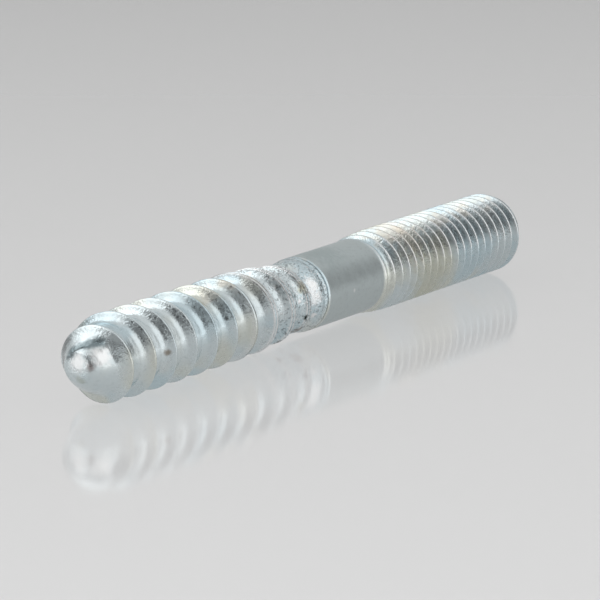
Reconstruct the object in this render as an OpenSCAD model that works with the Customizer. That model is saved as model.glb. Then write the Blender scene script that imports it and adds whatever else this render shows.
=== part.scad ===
// Hanger bolt, M4 x 40: a coarse wood thread with a blunt nose, a plain rolled shank and a machine thread.
// It lies on its side along X, tip towards -X. The origin is on the resting surface, at mid length.

/* [Wood thread] */
// Length from the tip to the end of the wood thread's run-out
wood_len = 19.7; // [16:0.1:30]
// Diameter over the wood thread's crests
wood_major_d = 4.1; // [3.9:0.05:4.4]
// Diameter of the core between the turns
wood_core_d = 3.1; // [2.8:0.05:3.3]
// Distance from one turn to the next
wood_pitch = 1.8; // [1.6:0.05:2.2]
// Angle between the two flanks of a turn
wood_flank_angle = 60; // [50:5:70]
// Width of the flat on a turn's crest
wood_crest_w = 0.1; // [0.06:0.02:0.2]
// Where the first turn starts, in degrees round the axis from the side that lies down
wood_angle = 68.7; // [0:0.1:360]
// Turns over which the first crest rises out of the nose
run_in_turns = 1.75; // [1:0.25:2.5]
// Turns over which the last crest sinks into the run-out
run_out_turns = 3.3; // [1:0.1:4]
// Length over which the core widens to the shank
run_out_len = 2.2; // [1:0.1:3]

/* [Nose] */
// Diameter of the small flat at the very tip
tip_face_d = 1; // [0.7:0.05:1.1]
// Diameter just behind the tip's edge
tip_d = 1.2; // [1.15:0.05:1.6]
// Length over which the nose widens to the core
nose_len = 2.3; // [1.4:0.1:4]
// Length of bare nose in front of the first turn
bare_nose_len = 0.32; // [0.2:0.02:0.8]

/* [Shank] */
// Diameter of the plain shank, the rolled blank's own
shank_d = 3.6; // [3.45:0.05:3.65]
// Length of the plain shank
shank_len = 5.2; // [4.5:0.1:20]

/* [Machine thread] */
// Diameter over the machine thread's crests (M4)
machine_major_d = 4; // [3.9:0.02:4]
// Diameter at the bottom of its grooves
machine_root_d = 3.14; // [3.04:0.02:3.24]
// Distance from one turn to the next
machine_pitch = 0.7; // [0.64:0.02:0.8]
// Angle between the two flanks of a turn
machine_flank_angle = 60; // [50:5:60]
// Length of the machine thread, with its run-in and its chamfered end
machine_len = 14.4; // [8:0.1:24]
// Where its first turn starts, in degrees round the axis from the side that lies down
machine_angle = 167.4; // [0:0.1:360]
// Length over which crests and grooves grow out of the shank
machine_run_in_len = 2.4; // [0.7:0.1:3]
// Length of the chamfer at the end
end_chamfer_len = 0.6; // [0.3:0.05:1]
// Diameter of the flat end face
end_face_d = 3; // [2.4:0.1:3.1]

/* [Hidden] */

wood_major_r = wood_major_d / 2;
wood_core_r = wood_core_d / 2;
tip_r = tip_d / 2;
shank_r = shank_d / 2;
machine_major_r = machine_major_d / 2;
machine_root_r = machine_root_d / 2;
end_face_r = end_face_d / 2;

shank_middle = wood_len + shank_len / 2;
machine_start = wood_len + shank_len;
bolt_len = machine_start + machine_len;
rest_height = max(wood_major_r, machine_major_r);

// Both threads meet the shank this far under its surface, which leaves a fine edge
shank_step = 0.03;
rolled_r = shank_r - shank_step;

// Facets round each thread and round what is turned, and rings of points along the bare nose
wood_facets = 48;
machine_facets = 34;
turned_facets = 96;
nose_rings = 6;

// Between the last row of a helix and the plain ring next to it
ring_gap = 0.04;

// Rows of points along one turn's section: foot, crest, crest, foot
row_is_crest = [0, 1, 1, 0];
function row_offsets(crest_w, height, flank_angle) =
    let (half = crest_w / 2, foot = half + height * tan(flank_angle / 2)) [-foot, -half, half, foot];

wood_offsets = row_offsets(wood_crest_w, wood_major_r - wood_core_r, wood_flank_angle);
wood_start = bare_nose_len + ring_gap - wood_offsets[0];
wood_turns = ceil((wood_len - wood_start) / wood_pitch);
// The last crest is gone this many turns before the run-out ends
plain_turns = 0.25;
crest_turns = (wood_len - wood_start) / wood_pitch - plain_turns;
// How suddenly the first crest rises and the last one sinks
run_in_power = 4;
run_out_power = 2;

machine_crest_w = machine_pitch / 8;
machine_offsets = row_offsets(machine_crest_w, machine_major_r - machine_root_r, machine_flank_angle);
// The helix starts this far inside the shank and goes on past the end, where the chamfer cuts it
hidden_len = 0.2;
machine_row_start = machine_start - hidden_len;
machine_turns = ceil((bolt_len - machine_row_start) / machine_pitch);

function share(from, value, to) = min(max((value - from) / (to - from), 0), 1);
function ease(u) = u * u * (3 - 2 * u);

// Radius of the core at height z above the tip: a blunt nose, the core, and a rise to the shank
function core_r(z) =
    let (rise = ease(share(wood_len - run_out_len, z, wood_len)))
    tip_r + (wood_core_r - tip_r) * (1 - pow(1 - share(0, z, nose_len), 2)) + (rolled_r - wood_core_r) * rise;

// Share of the full crest after this many turns
function crest_share(turn) =
    (1 - pow(1 - share(0, turn, run_in_turns), run_in_power))
    * (1 - pow(share(crest_turns - run_out_turns, turn, crest_turns), run_out_power));

function wood_r(row, turn, z) =
    core_r(z) + row_is_crest[row] * crest_share(turn) * (wood_major_r - core_r(z));

// The machine thread's crests rise and its grooves sink from the shank on
function machine_r(row, z) =
    let (
        full_r = row_is_crest[row] == 1 ? machine_major_r : machine_root_r,
        grown = 1 - pow(1 - share(machine_start, z, machine_start + machine_run_in_len), 2)
    ) rolled_r + (full_r - rolled_r) * grown;

// Two triangles between points a, b on one row and c, d above them on the next
function quad(a, b, c, d) = [[a, c, b], [a, d, c]];

// A solid along +Z with a helical thread on it. front and back are plain rings, [radius, height] each.
// Between them rows of points follow the helix; radius_at(row, turn, height) places each of them.
module threaded_solid(front, back, row_start, pitch, turns, offsets, facets, angle, radius_at) {
    rows = len(offsets);
    last_row = turns * rows;
    steps = [0 : facets - 1];

    // Point numbers: front rings, thread rows, the seam after the last turn, back rings
    thread_at = len(front) * facets;
    seam_at = thread_at + (last_row + 1) * facets;
    back_at = seam_at + rows;
    function front_id(ring, step) = ring * facets + step % facets;
    function back_id(ring, step) = back_at + ring * facets + step % facets;
    function row_id(i, step) =
        step == facets ? row_id(i + rows, 0)
        : i > last_row ? seam_at + i - last_row - 1
        : thread_at + i * facets + step;

    function ring_point(r, z, step) =
        let (a = angle + 360 * step / facets) [r * cos(a), r * sin(a), z];
    function thread_point(i, step) =
        let (
            row = i % rows,
            turn = floor(i / rows) + step / facets,
            z = row_start + turn * pitch + offsets[row] - offsets[0]
        ) ring_point(radius_at(row, turn, z), z, step);

    // Where the helix meets a plain ring, a fan closes the step of one pitch
    last_front = len(front) - 1;
    front_fan = row_id(0, facets - 1);
    front_edge = [
        front_id(last_front, facets - 1),
        front_id(last_front, 0),
        for (i = [0 : rows]) row_id(i, 0)
    ];
    back_fan = row_id(last_row, 1);
    back_edge = [
        back_id(0, 1),
        back_id(0, 0),
        for (i = [rows : -1 : 0]) row_id(last_row + i, 0)
    ];

    polyhedron(
        convexity = 10,
        points = [
            for (ring = front, s = steps) ring_point(ring[0], ring[1], s),
            for (i = [0 : last_row], s = steps) thread_point(i, s),
            for (i = [last_row + 1 : last_row + rows]) thread_point(i, 0),
            for (ring = back, s = steps) ring_point(ring[0], ring[1], s)
        ],
        faces = [
            [for (s = steps) front_id(0, s)],
            for (k = [1 : 1 : last_front], s = steps)
                each quad(front_id(k - 1, s), front_id(k - 1, s + 1), front_id(k, s + 1), front_id(k, s)),
            for (s = [0 : facets - 2])
                each quad(
                    front_id(last_front, s), front_id(last_front, s + 1), row_id(0, s + 1), row_id(0, s)
                ),
            for (k = [1 : len(front_edge) - 1]) [front_fan, front_edge[k], front_edge[k - 1]],
            for (i = [0 : last_row - 1], s = steps)
                each quad(row_id(i, s), row_id(i, s + 1), row_id(i + 1, s + 1), row_id(i + 1, s)),
            for (k = [1 : len(back_edge) - 1]) [back_fan, back_edge[k], back_edge[k - 1]],
            for (s = [1 : facets - 1])
                each quad(row_id(last_row, s), row_id(last_row, s + 1), back_id(0, s + 1), back_id(0, s)),
            for (k = [1 : 1 : len(back) - 1], s = steps)
                each quad(back_id(k - 1, s), back_id(k - 1, s + 1), back_id(k, s + 1), back_id(k, s)),
            [for (s = steps) back_id(len(back) - 1, facets - 1 - s)]
        ]
    );
}

// Core, nose and helical ridge, ending inside the shank
module wood_thread() {
    back_z = wood_start + wood_offsets[0] + (wood_turns + 1) * wood_pitch + ring_gap;
    threaded_solid(
        front = [
            [tip_face_d / 2, 0],
            for (k = [1 : nose_rings])
                let (z = bare_nose_len * pow(k / nose_rings, 2)) [core_r(z), z]
        ],
        back = [[rolled_r, back_z]],
        row_start = wood_start + wood_offsets[0],
        pitch = wood_pitch,
        turns = wood_turns,
        offsets = wood_offsets,
        facets = wood_facets,
        angle = wood_angle,
        radius_at = function(row, turn, z) wood_r(row, turn, z)
    );
}

// What the chamfer and the end face leave, with room round the crests
module chamfered_end() {
    room = 0.1;
    slope = end_chamfer_len / (machine_major_r - end_face_r);
    rotate_extrude($fn = turned_facets)
        polygon([
            [0, shank_middle],
            [machine_major_r + room, shank_middle],
            [machine_major_r + room, bolt_len - end_chamfer_len - room * slope],
            [end_face_r, bolt_len],
            [0, bolt_len]
        ]);
}

module machine_thread() {
    back_z = machine_row_start + (machine_turns + 1) * machine_pitch + ring_gap;
    intersection() {
        threaded_solid(
            front = [[rolled_r, machine_row_start - ring_gap]],
            back = [[machine_root_r, back_z]],
            row_start = machine_row_start,
            pitch = machine_pitch,
            turns = machine_turns,
            offsets = machine_offsets,
            facets = machine_facets,
            angle = machine_angle,
            radius_at = function(row, turn, z) machine_r(row, z)
        );
        chamfered_end();
    }
}

module shank() {
    translate([0, 0, wood_len])
        cylinder(r = shank_r, h = shank_len, $fn = turned_facets);
}

module hanger_bolt() {
    color([0.74, 0.77, 0.79])
        translate([-bolt_len / 2, 0, rest_height])
            rotate([0, 90, 0])
                union() {
                    wood_thread();
                    shank();
                    machine_thread();
                }
}

hanger_bolt();
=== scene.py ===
"""Looks of the hanger bolt: both threads and their run-outs in one mesh, zinc plating, floor and light.

Sizes are in millimetres, and become metres where a mesh, a material or a lamp is made.
A place on the bolt is given by
  along:  distance from the blunt tip, towards the machine end,
  turn:   angle round the axis in degrees, from the side that faces the camera; 90 is the underside,
  radius: distance from the axis.
What fades is given as (where there is none of it, where it is full), in either direction.
"""

import math

import bpy
import numpy as np
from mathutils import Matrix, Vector


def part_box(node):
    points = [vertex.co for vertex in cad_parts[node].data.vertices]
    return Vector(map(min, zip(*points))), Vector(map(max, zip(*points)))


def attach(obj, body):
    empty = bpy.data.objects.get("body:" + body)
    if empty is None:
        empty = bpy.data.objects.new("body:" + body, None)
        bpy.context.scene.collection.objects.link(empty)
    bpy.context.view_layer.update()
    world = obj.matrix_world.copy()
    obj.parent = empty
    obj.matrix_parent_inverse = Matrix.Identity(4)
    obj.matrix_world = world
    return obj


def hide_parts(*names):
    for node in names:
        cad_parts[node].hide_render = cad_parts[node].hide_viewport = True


MM = 0.001
NODE = "hanger_bolt"

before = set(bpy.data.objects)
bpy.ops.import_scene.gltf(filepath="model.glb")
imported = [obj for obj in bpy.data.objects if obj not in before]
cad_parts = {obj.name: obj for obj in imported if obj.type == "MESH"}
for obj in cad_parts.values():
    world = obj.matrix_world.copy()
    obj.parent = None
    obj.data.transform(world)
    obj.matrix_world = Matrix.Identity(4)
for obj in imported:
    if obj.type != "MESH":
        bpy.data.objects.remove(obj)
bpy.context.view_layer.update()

# The solid's corners in metres, its length and its axis
LOW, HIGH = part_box(NODE)
BOLT_LEN = (HIGH.x - LOW.x) / MM
AXIS_Z = (LOW.z + HIGH.z) / 2 / MM

# Side of the bolt that faces the camera, as an angle from +Y towards +Z
FACING = 158.7

# ---------------------------------------------------------------- sizes

# Points round the bolt
STEPS = 180
# A thread's point that comes this close to a plain ring moves onto it
RING_MARGIN = 0.01

# Both threads: the angle between a flank and a plane across the bolt, and the rounding of the crests
FLANK_ANGLE = math.radians(30)
FLANK = math.tan(FLANK_ANGLE)  # distance along for each millimetre of height
CREST_ROUNDING = 0.04

# Wood thread; its crests lie at WOOD_CREST_AT + turns * WOOD_PITCH
WOOD_PITCH = 1.8
WOOD_CREST_AT = -0.2
WOOD_MAJOR_R = 2.049  # a hair under the solid's 2.05, so that the looks stay inside its box
WOOD_CORE_R = 1.61  # just behind the nose; it narrows a little towards the shank
CORE_NARROWING = 0.008  # per millimetre along
WOOD_CREST_W = 0.1
WOOD_ROOT_FILLET = 0.6
WOOD_END = 19.7
# Places behind a crest at which its section has a point
WOOD_ROWS = [0.05, 0.1, 0.16, 0.23, 0.3, 0.38, 0.46, 0.55, 0.65, 0.77]

# The first crest rises from this turn on, and the last one is gone by this turn
CREST_START_TURN = 0.5
CREST_END_TURN = 10.8
RUN_IN_TURNS = 1.75
RUN_OUT_TURNS = 3.3
# How suddenly they rise and sink
RUN_IN_POWER = 4
RUN_OUT_POWER = 2

# Behind each crest the root is hollow: where it starts to sink, where it is deepest, and the slope and
# the length of its rise to the next turn
HOLLOW_START = 0.2
HOLLOW_DEEPEST = 0.5
HOLLOW_SLOPE = 0.15
HOLLOW_LEN = 0.65

# Towards the run-out the rolled crest is not quite closed: two lips with a seam between them
SEAM_START_TURN = 6.6
SEAM_OPENING_TURNS = 1.5
SEAM_CREST_W = 0.3
SEAM_DEPTH = 0.07

# The core widens to the shank between these places, behind which the helix ends in a plain collar
WIDENING_START = 18.05
WIDENING_END = 19.15
HELIX_END = 19.26
COLLAR_RINGS = 10
# A raised bead round the collar
BEAD_AT = 19.48
BEAD_HALF_W = 0.16
BEAD_HEIGHT = 0.05

# Nose: a slightly crowned tip with a rounded edge, and a bare stretch before the first turn
TIP_R = 0.6
TIP_CROWN = 0.06
CROWN_RINGS = (0.3, 0.6, 0.85, 1.0)  # as shares of the crown's radius
TIP_EDGE = 0.06
TIP_EDGE_RING = 0.4  # where the ring on the edge lies, as a share of the edge's length
TIP_EDGE_BULGE = 0.02  # and how far out it is past TIP_R
NOSE_LEN = 2.3
NOSE_POWER = 2  # how suddenly it widens
BARE_NOSE_END = 0.36
BARE_NOSE_RINGS = 5

# A crease above the tip, as a chain of places
CREASE = [
    (0.15, -104, 0.72),
    (0.24, -92, 0.8),
    (0.33, -80, 0.87),
    (0.43, -68, 0.94),
    (0.54, -58, 1.02),
    (0.65, -50, 1.09),
    (0.76, -44, 1.15),
    (0.87, -39, 1.21),
    (0.96, -35, 1.26),
]
# Dents as place, reach, depth: the crease and a pinched hollow beside it
DENTS = [(place, 0.24, 0.08) for place in CREASE]
DENTS += [((1.08, 0, 1.35), 0.52, 0.08)]

# Plain shank; the run-out ends a small step below its surface
SHANK_R = 1.8
SHANK_STEP = 0.05
SHANK_END = 24.9
# Where its rings lie: two close to the step, the others at even distances
SHANK_RINGS = [WOOD_END + 0.04, WOOD_END + 0.1, *np.linspace(WOOD_END + 0.3, SHANK_END - 0.1, 12)]

# Machine thread, M4 x 0.7; its crests lie at MACHINE_CREST_AT + turns * MACHINE_PITCH
MACHINE_PITCH = 0.7
MACHINE_CREST_AT = 25.15
MACHINE_CREST_R = 1.99
MACHINE_ROOT_R = 1.57
MACHINE_CREST_W = 0.0875
MACHINE_ROOT_FILLET = 0.1
# Places behind a crest at which its section has a point
MACHINE_ROWS = [0.03, 0.06, 0.14, 0.22, 0.29]
# Its first turns are shallow
MACHINE_RUN_IN_LEN = 2.4
MACHINE_RUN_IN_POWER = 2
END_CHAMFER_LEN = 0.6
END_FACE_R = 1.5

# ---------------------------------------------------------------- colours and places of the plating

# Tints of the thin chromate film on the zinc, the plain rolled shank, dark dirt and painted shade, and
# painted highlights
FILM_BLUE = (0.66, 0.785, 0.83)
FILM_GREY = (0.74, 0.82, 0.84)
FILM_OLIVE = (0.77, 0.8, 0.74)
FILM_WARM = (0.8, 0.62, 0.42)
SHANK_TINT = (0.6, 0.665, 0.67)
# Dark specks of dirt, and painted shade in the grooves and on the flanks
DIRT_AND_SHADE = (0.1, 0.11, 0.115)
PAINTED_HIGHLIGHT = (0.96, 0.97, 0.97)  # painted highlight, as bright as bare zinc

# Noise: the size of its features, its detail, its roughness, and a factor for x, y and z
RAGGED_EDGES = (0.3, 3.0)
WAVES = (0.8, 1.0)
GRAIN = (0.14, 2.0, 0.7)
# Patches: the levels of a noise at which they set in and are full, and then the noise
GREY_PATCHES = ((0.4, 0.56), 2.6, 3.0)
OLIVE_PATCHES = ((0.5, 0.66), 3.7, 2.0, 0.5, (1.0, 1.3, 0.8))
WARM_PATCHES = ((0.52, 0.66), 1.1, 2.0)
DULL_PATCHES = ((0.35, 0.7), 0.9, 3.0)
# Glints are painted highlights
GLINTS = ((0.57, 0.64), 0.16, 3.0, 0.8)
SPECKS = ((0.52, 0.64), 0.17, 3.0, 0.8)

# Where the parts of the bolt start and end, along it
SHANK_STARTS = (WOOD_END + 0.02, WOOD_END + 0.12)
SHANK_ENDS = (SHANK_END + 0.25, SHANK_END)
RUN_OUT_STARTS = (12.8, 16.6)
RUN_OUT_ENDS = (WOOD_END + 0.05, WOOD_END - 0.1)
MACHINE_STARTS = (SHANK_END, SHANK_END + 0.3)
# Painted shade and the painted highlights on the crests stay off the end face
END_FACE_CLEARS = (BOLT_LEN - 0.02, BOLT_LEN - 0.3)

# A surface counts as a flank by how much its normal points along the bolt
FLANK_TILT = (0.45, 0.75)

# The warm film, where the top of the bolt turns to its side: between which turns, the softness of its
# edges, from where on, and how much
WARM_BAND = (-56, -36)
WARM_EDGE = 12
WARM_STARTS = (8.0, 11.0)
WARM_SHARE = 0.3

# The two lips beside the seam in the wood thread's crests, by distance from the crest's middle
LIP_INNER_EDGE = (0.04, 0.1)
LIP_OUTER_EDGE = (0.22, 0.14)
LIPS_STARTS = (11.5, 14.5)
LIPS_ENDS = (WIDENING_START + 0.4, WIDENING_START)
# How strongly highlights are painted on the lips and on the glints in the torn run-out
LIP_HIGHLIGHT = 0.9
GLINT_HIGHLIGHT = 0.9

# Painted shade below the warm film, on the side that faces the camera: between which turns it lies, and
# the softness of its edges
PAINTED_SHADE_BAND = (-42, -3)
PAINTED_SHADE_EDGE = 12
# Painted shade in the machine thread's grooves: by distance from a crest, from where on, and how much
GROOVE_FROM_CREST = (0.06, 0.14)
GROOVES_STARTS = (27.0, 33.0)
GROOVE_SHADE = 0.36
# Painted shade on the flanks of both threads: from where on, how much, and the machine thread's share of
# that
FLANKS_STARTS = (1.2, 2.2)
FLANK_SHADE = 0.12
MACHINE_FLANK_SHARE = 0.5
# Dark specks: how dark they are on those flanks, where they deepen the painted shade, in the torn
# run-out and elsewhere, where they are dirt
FLANK_SPECKS = 0.7
RUN_OUT_SPECKS = 0.64
OTHER_SPECKS = 0.1

# Painted highlights on the machine thread's crests: between which turns, the softness of the ends, by
# distance from the crest's middle, and how bright
CREST_HIGHLIGHT_BAND = (-36, 8)
CREST_HIGHLIGHT_EDGE = 14
CREST_HIGHLIGHT_FROM_CREST = (0.1, 0.04)
CREST_HIGHLIGHT_SHARE = 0.7

# Marks on the plating, among them painted highlights and painted shade: place, reach, colour, strength
MARKS = {
    "brown spot": ((5.03, 22, 1.71), 0.17, (0.22, 0.16, 0.1), 0.75),
    "dimple": ((0.14, 16, 0.72), 0.2, (0.26, 0.2, 0.19), 0.75),
    "nose stain": ((0.08, 95, 0.6), 0.2, (0.36, 0.37, 0.27), 0.4),
    # Painted highlights on the nose and the tip
    "painted highlight on the nose": ((0.62, -10, 1.06), 0.5, (0.97, 0.98, 0.98), 0.9),
    "painted highlight on the tip": ((0.04, -60, 0.25), 0.4, (0.97, 0.98, 0.98), 0.8),
    # Painted shade at the tip's edge and above it
    "painted shade at the edge of the tip": ((0.42, -149, 0.95), 0.3, (0.3, 0.32, 0.33), 0.8),
    "painted shade above the tip": ((0.74, -133, 1.22), 0.3, (0.3, 0.32, 0.33), 0.8),
    "painted shade by the first turn": ((0.9, -115, 1.4), 0.24, (0.34, 0.36, 0.37), 0.7),
    "black speck": ((10.38, 1, 1.74), 0.09, (0.1, 0.11, 0.11), 0.8),
    "golden patch": ((17.66, -8, 1.71), 0.3, (0.62, 0.54, 0.32), 0.5),
    # Painted shade of a pit
    "pit": ((17.89, 44, 1.69), 0.14, (0.01, 0.02, 0.015), 1.0),
    # Painted highlights on the run-out
    "painted highlight on the run-out": ((18.65, -8, 1.62), 0.4, (0.98, 0.99, 0.99), 0.9),
    "painted highlight below the run-out": ((18.65, 14, 1.62), 0.4, (0.98, 0.99, 0.99), 0.8),
    "lower smear": ((16.4, 82, 1.96), 0.2, (0.05, 0.05, 0.04), 0.9),
    "second smear": ((18.2, 80, 1.71), 0.32, (0.26, 0.22, 0.19), 0.7),
    # Painted glints
    "bright speck": ((17.36, 14, 1.5), 0.1, (0.98, 0.98, 0.98), 1.0),
    "second bright speck": ((18.69, 47, 1.64), 0.14, (0.98, 0.98, 0.98), 0.9),
    "warm top": ((28.4, -47, 1.9), 1.6, (0.82, 0.68, 0.5), 0.35),
    "shade on the shank": ((21.2, -75, 1.8), 1.5, (0.42, 0.5, 0.5), 0.55),
    # Painted glint
    "shank speck": ((22.07, 22, 1.8), 0.09, (0.95, 0.95, 0.95), 0.6),
    "olive underneath": ((29.9, 50, 1.95), 1.8, (0.6, 0.59, 0.45), 0.4),
}
# Painted shade along the crease above the tip
MARKS |= {f"painted shade in crease {i}": (place, 0.27, (0.24, 0.3, 0.32), 0.8) for i, place in enumerate(CREASE)}
# A mark fades between these shares of its reach. Noise of -0.5 to 0.5 times this share moves its edge
MARK_FADE = (1.5, 0.3)
MARK_RAGGED = 1.6

THREAD_ROUGHNESS = 0.15
DULL_ROUGHNESS = 0.1  # more, in dull patches
FLANK_ROUGHNESS = 0.08  # more, on flanks
SHANK_ROUGHNESS = 0.42

# Depths of the bumps
THREAD_WAVES = 0.012
SHANK_WAVES = 0.03
LIP_HEIGHT = 0.045
GRAIN_DEPTH = 0.03
# The share of the grain's depth that each place has
PLAIN_GRAIN = 0.25
FLANK_GRAIN = 0.9
RUN_OUT_GRAIN = 1.5
MACHINE_GRAIN = 0.5

# ---------------------------------------------------------------- stage

# The camera, as fitted to the photo: its place, the way it looks, and its focal length on this sensor
CAMERA_PLACE = (-230.625, -133.083, 54.071)
CAMERA_AIM = (0.85021, 0.48991, -0.19267)
CAMERA_LENS = 342.5
CAMERA_SENSOR_W = 36.0
CAMERA_NEAR = 10.0
CAMERA_FAR = 20000.0

# A square floor with a painted fall of light: its brightness falls along the line of sight between these
# distances from the origin
FLOOR_HALF_W = 3000.0
VIEW_HEADING = 30.0
FLOOR_FALL_START = -60.0
FLOOR_FALL_END = 120.0
FLOOR_NEAR = 0.64
FLOOR_FAR = 0.275
FLOOR_GLOW = 0.78  # share of the floor's light that it gives off itself, painted light that glows though the floor is no lamp
FLOOR_LIGHT = 0.98  # what falls on the floor from above, so that both kinds of light match
FLOOR_DEPTH = 10.0  # how far light goes inside it
FLOOR_ROUGHNESS = 0.08

# The room round the bolt: brightness, and round fields of another brightness as
# (heading from +X towards +Y, elevation, reach, softness of the edge, brightness), in degrees
ROOM_LEVEL = 0.54
BACKDROP_LEVEL = 0.6
ROOM_FIELDS = {
    "zenith": (0, 90, 40, 25, 0.7),
    "behind the camera": (-135, 20, 29, 18, 0.17),
    "right window": (-76, 25, 30, 12, 0.97),
    "far right": (-27, 12, 12, 11, 0.13),
    "back": (112, 20, 18, 10, 0.3),
    "low at the back": (155, 4, 17, 8, 1.1),
}

# A softbox aimed at the origin: its direction in degrees, its distance, size and radiance
SOFTBOX_HEADING = 128
SOFTBOX_ELEVATION = 57
SOFTBOX_DISTANCE = 700.0
SOFTBOX_W = 900.0
SOFTBOX_D = 560.0
SOFTBOX_RADIANCE = 0.8


def ease(u):
    """0 below 0, 1 above 1 and a smooth rise between."""
    v = np.clip(u, 0.0, 1.0)
    return v * v * (3 - 2 * v)


def early_rise(u, power):
    """0 below 0, 1 above 1 and between them a rise that is steepest at its start."""
    return 1 - (1 - np.clip(u, 0, 1)) ** power


def soft_max(a, b, blend):
    """The larger of a and b, rounded over where they are closer than blend."""
    return np.maximum(a, b) + np.maximum(blend - np.abs(a - b), 0) ** 2 / (4 * blend)


def soft_min(a, b, blend):
    return -soft_max(-a, -b, blend)


def direction(heading, elevation):
    """Unit vector; heading is from +X towards +Y, both in degrees."""
    h, e = math.radians(heading), math.radians(elevation)
    return Vector((math.cos(e) * math.cos(h), math.cos(e) * math.sin(h), math.sin(e)))


def on_bolt(along, turn, radius):
    """A place on the bolt in the row frame, in metres."""
    angle = np.radians(FACING + turn)
    return (
        (along + LOW.x / MM) * MM,
        radius * np.cos(angle) * MM,
        (AXIS_Z + radius * np.sin(angle)) * MM,
    )


# ---------------------------------------------------------------- radii


def core_radius(along):
    """Radius of the wood thread's core: a blunt nose, a nearly even core, and a rise to the shank."""
    core = WOOD_CORE_R - CORE_NARROWING * along
    nose = TIP_R + (core - TIP_R) * early_rise(along / NOSE_LEN, NOSE_POWER)
    rise = ease((along - WIDENING_START) / (WIDENING_END - WIDENING_START))
    bead = BEAD_HEIGHT * ease(1 - np.abs(along - BEAD_AT) / BEAD_HALF_W)
    return nose + (SHANK_R - SHANK_STEP - core) * rise + bead


def ridge(offset, crest_w, height, fillet):
    """Height of a thread's section: a flat crest, straight flanks and an arc down into the root."""
    d = np.abs(offset)
    flank = height - (d - crest_w / 2) / FLANK
    arc_end = crest_w / 2 + height * FLANK + fillet * FLANK
    arc_start = arc_end - fillet * math.cos(FLANK_ANGLE)
    arc = fillet - np.sqrt(np.clip(fillet**2 - np.clip(arc_end - d, 0, fillet) ** 2, 0, None))
    return soft_min(np.where(d < arc_start, flank, arc), height, CREST_ROUNDING)


def wood_radius(along, offset, turns):
    """Radius on the wood thread, at this offset from the middle of its crest and this many turns on."""
    core = core_radius(along)
    run_in = early_rise((turns - CREST_START_TURN) / RUN_IN_TURNS, RUN_IN_POWER)
    sunk = np.clip((turns - CREST_END_TURN) / RUN_OUT_TURNS + 1, 0, 1) ** RUN_OUT_POWER
    open_seam = ease((turns - SEAM_START_TURN) / SEAM_OPENING_TURNS)
    crest_w = WOOD_CREST_W + (SEAM_CREST_W - WOOD_CREST_W) * open_seam
    seam = SEAM_DEPTH * open_seam * (1 - ease(np.abs(offset) / (crest_w / 2)))
    full_height = WOOD_MAJOR_R - WOOD_CORE_R
    share = ridge(offset, crest_w, full_height, WOOD_ROOT_FILLET) / full_height
    past_crest = offset % WOOD_PITCH
    sinking = ease((past_crest - HOLLOW_START) / (HOLLOW_DEEPEST - HOLLOW_START))
    rising = np.clip(1 - (past_crest - HOLLOW_DEEPEST) / HOLLOW_LEN, 0, 1)
    hollow = HOLLOW_SLOPE * HOLLOW_LEN * sinking * rising
    return core + (share * (WOOD_MAJOR_R - core) - seam - hollow) * run_in * (1 - sunk)


def machine_radius(along, offset, turns):
    """Radius on the machine thread; turns plays no part. Crest and groove both grow from the shank, and
    the end is chamfered."""
    grown = early_rise((along - SHANK_END) / MACHINE_RUN_IN_LEN, MACHINE_RUN_IN_POWER)
    height = MACHINE_CREST_R - MACHINE_ROOT_R
    full = MACHINE_ROOT_R + ridge(offset, MACHINE_CREST_W, height, MACHINE_ROOT_FILLET)
    chamfer = END_FACE_R + (BOLT_LEN - along) * (MACHINE_CREST_R - END_FACE_R) / END_CHAMFER_LEN
    return np.minimum(SHANK_R + (full - SHANK_R) * grown, chamfer)


# ---------------------------------------------------------------- mesh


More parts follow.
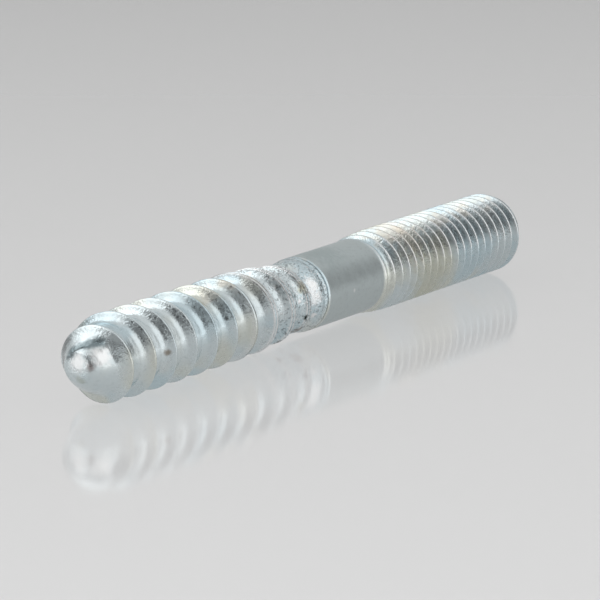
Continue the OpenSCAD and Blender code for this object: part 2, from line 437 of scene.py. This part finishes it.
class Skin:
    """Points round the bolt as (along, turn, radius), and the faces between them."""

    def __init__(self):
        self.points = []
        self.count = 0
        self.faces = []

    def add(self, along, turn, radius):
        """Adds points and returns their numbers."""
        block = np.stack(np.broadcast_arrays(along, turn, radius), axis=-1).reshape(-1, 3)
        numbers = self.count + np.arange(len(block))
        self.points.append(block)
        self.count += len(block)
        return numbers

    def ring(self, along, radius):
        return self.add(along, np.arange(STEPS) * 360 / STEPS, radius)

    def rings(self, last, profile):
        """Plain rings on from the ring last, each given as (along, radius); returns the last of them."""
        for along, radius in profile:
            new = self.ring(along, radius)
            last_after, new_after = np.roll(last, -1), np.roll(new, -1)
            self.faces += np.stack([last, last_after, new_after, new], axis=1).tolist()
            last = new
        return last

    def cap(self, ring, along, turned):
        """A fan from the ring to a point on the axis."""
        middle = self.add(along, 0.0, 0.0)[0]
        after = np.roll(ring, -1)
        pairs = zip(ring.tolist(), after.tolist())
        self.faces += [[middle, a, b] if turned else [middle, b, a] for a, b in pairs]

    def thread(self, start_ring, start, end, pitch, crest_at, offsets, radius_at):
        """A helical stretch between two plain rings; returns the second one. Ribs of points follow the
        helix, one rib across each step. Points that would lie outside start or end move onto the ring
        there, so the stretch closes cleanly on both."""
        # Whole turns, enough to reach past both ends
        first = math.floor((start - crest_at) / pitch) - 1
        last = math.ceil((end - crest_at) / pitch) + 3
        ribs = (last - first) * STEPS + 1
        shape = (ribs, len(offsets))
        turns = np.broadcast_to(first + np.arange(ribs)[:, None] / STEPS, shape)
        offset = np.broadcast_to(np.array(offsets), shape)
        along = crest_at + pitch * turns + offset
        before = along < start + RING_MARGIN
        beyond = along > end - RING_MARGIN
        inside = ~(before | beyond)
        end_ring = self.ring(end, radius_at(end, pitch / 2, float(last)))
        numbers = np.zeros(shape, int)
        radius = radius_at(along, offset, turns)
        numbers[inside] = self.add(along[inside], turns[inside] * 360 % 360, radius[inside])
        step = np.broadcast_to((np.arange(ribs) % STEPS)[:, None], shape)
        numbers[before] = start_ring[step[before]]
        numbers[beyond] = end_ring[step[beyond]]
        # What follows a rib's last point is the next turn's first
        following = np.concatenate([numbers[:-STEPS, 1:], numbers[STEPS:, :1]], axis=1)
        numbers = numbers[:-STEPS]
        quads = np.stack([numbers[:-1], numbers[1:], following[1:], following[:-1]], axis=-1)
        for quad in quads.reshape(-1, 4).tolist():
            corners = [c for i, c in enumerate(quad) if c != quad[i - 1]]
            if len(set(corners)) > 2:
                self.faces.append(corners)
        return end_ring


def both_sides(places, pitch):
    """Places across one turn's section, from half a pitch before its crest on, from those behind it."""
    return [-pitch / 2] + [-x for x in reversed(places)] + [0.0] + places


def nose_profile():
    """Rings of the nose as (along, radius): the crowned tip, its edge and the bare stretch."""
    crown = [(TIP_CROWN * k * k, (TIP_R - TIP_EDGE) * k) for k in CROWN_RINGS]
    edge = [(TIP_CROWN + TIP_EDGE_RING * TIP_EDGE, TIP_R + TIP_EDGE_BULGE)]
    bare = np.linspace(TIP_CROWN + TIP_EDGE, BARE_NOSE_END, BARE_NOSE_RINGS)
    return crown + edge + [(along, core_radius(along)) for along in bare]


def bolt_skin():
    skin = Skin()
    nose = nose_profile()
    ring = skin.ring(*nose[0])
    skin.cap(ring, 0.0, turned=False)
    ring = skin.rings(ring, nose[1:])
    wood_rows = both_sides(WOOD_ROWS, WOOD_PITCH)
    ring = skin.thread(
        ring, BARE_NOSE_END, HELIX_END, WOOD_PITCH, WOOD_CREST_AT, wood_rows, wood_radius
    )
    collar = np.linspace(HELIX_END, WOOD_END, COLLAR_RINGS + 1)[1:]
    ring = skin.rings(ring, [(along, core_radius(along)) for along in collar])
    ring = skin.rings(ring, [(along, SHANK_R) for along in SHANK_RINGS])
    machine_rows = both_sides(MACHINE_ROWS, MACHINE_PITCH)
    ring = skin.thread(
        ring, SHANK_END, BOLT_LEN, MACHINE_PITCH, MACHINE_CREST_AT, machine_rows, machine_radius
    )
    skin.cap(ring, BOLT_LEN, turned=True)
    return skin


def make_bolt():
    """The bolt's mesh in the row frame, with its dents pressed in."""
    skin = bolt_skin()
    along, turn, radius = np.concatenate(skin.points).T
    places = np.stack(on_bolt(along, turn, radius), axis=1)
    pressed = np.zeros(len(places))
    for place, reach, depth in DENTS:
        distance = np.linalg.norm(places - on_bolt(*place), axis=1) / MM
        pressed = np.maximum(pressed, depth * ease(1 - distance / reach))
    places = np.stack(on_bolt(along, turn, radius - np.minimum(pressed, radius)), axis=1)
    mesh = bpy.data.meshes.new("bolt")
    mesh.from_pydata(places.tolist(), [], skin.faces)
    mesh.update()
    mesh.polygons.foreach_set("use_smooth", [True] * len(mesh.polygons))
    mesh.materials.append(zinc())
    bolt = bpy.data.objects.new("bolt", mesh)
    bpy.context.scene.collection.objects.link(bolt)
    return bolt


# ---------------------------------------------------------------- materials


class Graph:
    """Short names for building a node tree round the shader that it already has."""

    def __init__(self, tree, shader, coordinates):
        self.nodes = tree.nodes
        self.links = tree.links
        self.shader = self.nodes[shader]
        self.place = self.nodes.new("ShaderNodeTexCoord").outputs[coordinates]

    def feed(self, socket, value):
        """Links an output, or sets a plain value."""
        if isinstance(value, bpy.types.NodeSocket):
            self.links.new(value, socket)
        elif isinstance(value, (tuple, list)) and len(socket.default_value) == 4:
            socket.default_value = (*value, 1.0)
        else:
            socket.default_value = value

    def math(self, operation, *values):
        node = self.nodes.new("ShaderNodeMath")
        node.operation = operation
        for socket, value in zip(node.inputs, values):
            self.feed(socket, value)
        return node.outputs[0]

    def product(self, first, *others):
        for other in others:
            first = self.math("MULTIPLY", first, other)
        return first

    def vector(self, operation, a, b):
        node = self.nodes.new("ShaderNodeVectorMath")
        node.operation = operation
        self.feed(node.inputs[0], a)
        self.feed(node.inputs[1], b)
        return node.outputs["Value" if operation in ("DISTANCE", "DOT_PRODUCT") else "Vector"]

    def component(self, vector, axis):
        node = self.nodes.new("ShaderNodeSeparateXYZ")
        self.feed(node.inputs[0], vector)
        return node.outputs[axis]

    def between(self, value, start, full, smooth=True):
        """0 where the value is at start or before it, 1 where it is full or beyond."""
        node = self.nodes.new("ShaderNodeMapRange")
        node.interpolation_type = "SMOOTHSTEP" if smooth else "LINEAR"
        self.feed(node.inputs["Value"], value)
        node.inputs["From Min"].default_value = start
        node.inputs["From Max"].default_value = full
        return node.outputs["Result"]

    def band(self, value, limits, edge):
        """1 between the limits, falling to 0 over the edge outside them."""
        low, high = limits
        return self.product(self.between(value, low - edge, low), self.between(value, high + edge, high))

    def noise(self, size, detail, roughness=0.5, stretch=(1.0, 1.0, 1.0)):
        node = self.nodes.new("ShaderNodeTexNoise")
        self.feed(node.inputs["Vector"], self.vector("MULTIPLY", self.place, stretch))
        node.inputs["Scale"].default_value = 1 / (size * MM)
        node.inputs["Detail"].default_value = detail
        node.inputs["Roughness"].default_value = roughness
        return node.outputs["Fac"]

    def patches(self, levels, *noise):
        return self.between(self.noise(*noise), *levels)

    def blend(self, share, a, b):
        """A mix of two colours."""
        node = self.nodes.new("ShaderNodeMix")
        node.data_type = "RGBA"
        self.feed(node.inputs["Factor"], share)
        self.feed([i for i in node.inputs if i.name == "A" and i.type == "RGBA"][0], a)
        self.feed([i for i in node.inputs if i.name == "B" and i.type == "RGBA"][0], b)
        return [o for o in node.outputs if o.type == "RGBA"][0]

    def mix(self, share, a, b):
        """A mix of two numbers."""
        node = self.nodes.new("ShaderNodeMix")
        self.feed(node.inputs["Factor"], share)
        self.feed(node.inputs["A"], a)
        self.feed(node.inputs["B"], b)
        return node.outputs["Result"]

    def bump(self, height, depth, normal=None):
        """A bump of the given depth in metres."""
        node = self.nodes.new("ShaderNodeBump")
        self.feed(node.inputs["Distance"], depth)
        self.feed(node.inputs["Height"], height)
        if normal is not None:
            self.feed(node.inputs["Normal"], normal)
        return node.outputs["Normal"]


class Plating(Graph):
    """The zinc plating's node tree, with the measures that tell the bolt's places apart."""

    def __init__(self, tree):
        super().__init__(tree, "Principled BSDF", "Object")
        from_tip = self.math("SUBTRACT", self.component(self.place, "X"), LOW.x)
        self.along = self.math("DIVIDE", from_tip, MM)
        past_axis = self.vector("SUBTRACT", self.place, (0.0, 0.0, AXIS_Z * MM))
        angle = self.math("ARCTAN2", self.component(past_axis, "Z"), self.component(past_axis, "Y"))
        self.turns = self.math("SUBTRACT", self.math("DIVIDE", angle, 2 * math.pi), FACING / 360)
        self.turn = self.math("MULTIPLY", self.math("WRAP", self.turns, 0.5, -0.5), 360.0)
        geometry = self.nodes.new("ShaderNodeNewGeometry")
        tilt = self.math("ABSOLUTE", self.component(geometry.outputs["Normal"], "X"))
        self.flank = self.between(tilt, *FLANK_TILT)
        self.on_shank = self.part(SHANK_STARTS, SHANK_ENDS)
        self.run_out = self.part(RUN_OUT_STARTS, RUN_OUT_ENDS)
        self.on_machine = self.between(self.along, *MACHINE_STARTS)
        self.off_end_face = self.between(self.along, *END_FACE_CLEARS)
        self.lips = self.make_lips()

    def part(self, starts, ends):
        """1 along one part of the bolt, with a soft start and a soft end."""
        return self.product(self.between(self.along, *starts), self.between(self.along, *ends))

    def from_crest(self, crest_at, pitch):
        """Millimetres along to the nearest crest of a thread."""
        past_first = self.math("DIVIDE", self.math("SUBTRACT", self.along, crest_at), pitch)
        row = self.math("SUBTRACT", past_first, self.turns)
        return self.math("MULTIPLY", self.math("PINGPONG", row, 0.5), pitch)

    def make_lips(self):
        from_crest = self.from_crest(WOOD_CREST_AT, WOOD_PITCH)
        inner_edge = self.between(from_crest, *LIP_INNER_EDGE)
        outer_edge = self.between(from_crest, *LIP_OUTER_EDGE)
        return self.product(inner_edge, outer_edge, self.part(LIPS_STARTS, LIPS_ENDS))

    def film(self):
        """Colour of the film and of the plain shank."""
        warm = self.product(
            self.band(self.turn, WARM_BAND, WARM_EDGE),
            self.patches(*WARM_PATCHES),
            self.between(self.along, *WARM_STARTS),
            self.math("SUBTRACT", 1.0, self.run_out),
            WARM_SHARE,
        )
        colour = self.blend(self.patches(*GREY_PATCHES), FILM_BLUE, FILM_GREY)
        colour = self.blend(self.patches(*OLIVE_PATCHES), colour, FILM_OLIVE)
        colour = self.blend(warm, colour, FILM_WARM)
        return self.blend(self.on_shank, colour, SHANK_TINT)

    def painted_highlights(self, colour):
        """Painted highlights on the lips and painted glints in the torn run-out."""
        # Painted highlights: the glints in the torn run-out and the lips are painted bright
        glints = self.product(self.patches(*GLINTS), self.run_out, GLINT_HIGHLIGHT)
        colour = self.blend(self.product(self.lips, LIP_HIGHLIGHT), colour, PAINTED_HIGHLIGHT)
        return self.blend(glints, colour, PAINTED_HIGHLIGHT)

    def shade_highlights_and_specks(self, colour):
        """Painted shade in the machine thread's grooves and on flanks, painted highlights on its crests,
        and then dark specks: dirt, and on the flanks more painted shade.
        """
        from_crest = self.from_crest(MACHINE_CREST_AT, MACHINE_PITCH)
        # Painted shade on the side that faces the camera from above
        camera_side_shade = self.product(self.band(self.turn, PAINTED_SHADE_BAND, PAINTED_SHADE_EDGE), self.off_end_face)
        in_groove = self.product(
            self.between(from_crest, *GROOVE_FROM_CREST),
            self.between(self.along, *GROOVES_STARTS),
            camera_side_shade,
            GROOVE_SHADE,
        )
        on_flank = self.product(
            camera_side_shade,
            self.flank,
            self.mix(self.on_machine, 1.0, MACHINE_FLANK_SHARE),
            self.between(self.along, *FLANKS_STARTS),
        )
        # Painted highlights on the machine thread's crests
        crest_highlight = self.product(
            self.between(from_crest, *CREST_HIGHLIGHT_FROM_CREST),
            self.band(self.turn, CREST_HIGHLIGHT_BAND, CREST_HIGHLIGHT_EDGE),
            self.on_machine,
            self.off_end_face,
            CREST_HIGHLIGHT_SHARE,
        )
        speckled = self.math("MAXIMUM", self.product(on_flank, FLANK_SPECKS), OTHER_SPECKS)
        speckled = self.math("MAXIMUM", self.product(self.run_out, RUN_OUT_SPECKS), speckled)
        # Painted shade in the grooves and on the flanks, then painted highlights on the crests, then
        # dark specks
        colour = self.blend(in_groove, colour, DIRT_AND_SHADE)
        colour = self.blend(self.product(on_flank, FLANK_SHADE), colour, DIRT_AND_SHADE)
        colour = self.blend(crest_highlight, colour, PAINTED_HIGHLIGHT)
        return self.blend(self.product(self.patches(*SPECKS), speckled), colour, DIRT_AND_SHADE)

    def marked(self, colour):
        """Single marks, each a round spot with a ragged edge."""
        fade_start, fade_full = MARK_FADE
        ragged = self.product(self.math("SUBTRACT", self.noise(*RAGGED_EDGES), 0.5), MARK_RAGGED)
        for place, reach, tint, strength in MARKS.values():
            distance = self.vector("DISTANCE", self.place, on_bolt(*place))
            distance = self.math("ADD", distance, self.product(ragged, reach * MM))
            spot = self.between(distance, fade_start * reach * MM, fade_full * reach * MM)
            colour = self.blend(self.product(spot, strength), colour, tint)
        return colour

    def roughness(self):
        duller = self.product(self.patches(*DULL_PATCHES), DULL_ROUGHNESS)
        threads = self.math("ADD", THREAD_ROUGHNESS, duller)
        threads = self.math("ADD", threads, self.product(self.flank, FLANK_ROUGHNESS))
        return self.mix(self.on_shank, threads, SHANK_ROUGHNESS)

    def normal(self):
        """Waves all over, the lips beside the seam and a fine grain."""
        waves = self.noise(*WAVES)
        normal = self.bump(waves, self.mix(self.on_shank, THREAD_WAVES * MM, SHANK_WAVES * MM))
        normal = self.bump(self.lips, LIP_HEIGHT * MM, normal)
        grain = self.mix(self.flank, PLAIN_GRAIN, FLANK_GRAIN)
        grain = self.math("MAXIMUM", grain, self.product(self.run_out, RUN_OUT_GRAIN))
        grain = self.math("MAXIMUM", grain, self.product(self.on_machine, MACHINE_GRAIN))
        return self.bump(self.product(self.noise(*GRAIN), grain), GRAIN_DEPTH * MM, normal)


def new_material(name):
    material = bpy.data.materials.new(name)
    material.use_nodes = True
    return material


def zinc():
    """Bright zinc plating: a thin uneven film, threads with painted highlights, painted shade and dark
    specks, a satin shank, single marks.
    """
    material = new_material("zinc")
    plating = Plating(material.node_tree)
    inputs = plating.shader.inputs
    colour = plating.marked(plating.shade_highlights_and_specks(plating.painted_highlights(plating.film())))
    plating.feed(inputs["Base Color"], colour)
    inputs["Metallic"].default_value = 1.0
    plating.feed(inputs["Roughness"], plating.roughness())
    plating.feed(inputs["Normal"], plating.normal())
    return material


def pale_board():
    """The floor: a smooth pale board that light enters a little and that glows with painted light, so
    the contact shadow stays soft; its brightness is painted to fall along the line of sight.
    """
    material = new_material("floor")
    g = Graph(material.node_tree, "Principled BSDF", "Object")
    inputs = g.shader.inputs
    # Painted fall of light: the floor darkens along the line of sight
    sight = g.vector("DOT_PRODUCT", g.place, direction(VIEW_HEADING, 0))
    fall = g.between(sight, FLOOR_FALL_START * MM, FLOOR_FALL_END * MM, smooth=False)
    level = g.mix(fall, FLOOR_NEAR, FLOOR_FAR)
    g.feed(inputs["Base Color"], g.math("MULTIPLY", level, 1 - FLOOR_GLOW))
    # Painted light: the floor glows, though it is no lamp
    g.feed(inputs["Emission Color"], level)
    inputs["Emission Strength"].default_value = FLOOR_GLOW * FLOOR_LIGHT
    g.shader.subsurface_method = "BURLEY"
    inputs["Subsurface Weight"].default_value = 1.0
    inputs["Subsurface Radius"].default_value = (1.0, 1.0, 1.0)
    inputs["Subsurface Scale"].default_value = FLOOR_DEPTH * MM
    inputs["Roughness"].default_value = FLOOR_ROUGHNESS
    return material


# ---------------------------------------------------------------- room, light and camera


def make_floor():
    far = FLOOR_HALF_W * MM
    mesh = bpy.data.meshes.new("floor")
    corners = [(-far, -far, 0), (far, -far, 0), (far, far, 0), (-far, far, 0)]
    mesh.from_pydata(corners, [], [(0, 1, 2, 3)])
    mesh.materials.append(pale_board())
    floor = bpy.data.objects.new("floor", mesh)
    bpy.context.scene.collection.objects.link(floor)


def make_world():
    """An even grey room with a few soft darker and brighter fields, as large cards would give."""
    world = bpy.data.worlds.new("studio")
    bpy.context.scene.world = world
    world.use_nodes = True
    g = Graph(world.node_tree, "Background", "Generated")
    level = ROOM_LEVEL
    for heading, elevation, reach, edge, brightness in ROOM_FIELDS.values():
        nearness = g.vector("DOT_PRODUCT", g.place, direction(heading, elevation))
        rim = math.cos(math.radians(reach + edge))
        inner = math.cos(math.radians(max(reach - edge, 0)))
        level = g.mix(g.between(nearness, rim, inner), level, brightness)
    seen = g.nodes.new("ShaderNodeLightPath").outputs["Is Camera Ray"]
    g.feed(g.shader.inputs["Color"], g.mix(seen, level, BACKDROP_LEVEL))


def make_softbox():
    data = bpy.data.lights.new("left softbox", "AREA")
    data.shape = "RECTANGLE"
    data.size = SOFTBOX_W * MM
    data.size_y = SOFTBOX_D * MM
    data.energy = SOFTBOX_RADIANCE * data.size * data.size_y * math.pi
    lamp = bpy.data.objects.new("left softbox", data)
    lamp.location = direction(SOFTBOX_HEADING, SOFTBOX_ELEVATION) * SOFTBOX_DISTANCE * MM
    lamp.rotation_euler = (-lamp.location).to_track_quat("-Z", "Y").to_euler()
    bpy.context.scene.collection.objects.link(lamp)


def make_camera():
    data = bpy.data.cameras.new("camera")
    data.sensor_fit = "HORIZONTAL"
    data.sensor_width = CAMERA_SENSOR_W
    data.lens = CAMERA_LENS
    data.clip_start = CAMERA_NEAR * MM
    data.clip_end = CAMERA_FAR * MM
    camera = bpy.data.objects.new("camera", data)
    camera.location = Vector(CAMERA_PLACE) * MM
    camera.rotation_euler = Vector(CAMERA_AIM).to_track_quat("-Z", "Y").to_euler()
    bpy.context.scene.collection.objects.link(camera)
    bpy.context.scene.camera = camera


# ---------------------------------------------------------------- the scene

make_camera()
bolt = make_bolt()
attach(bolt, "root")
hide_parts(NODE)

make_floor()
make_world()
make_softbox()
bpy.context.scene.view_settings.view_transform = "Standard"
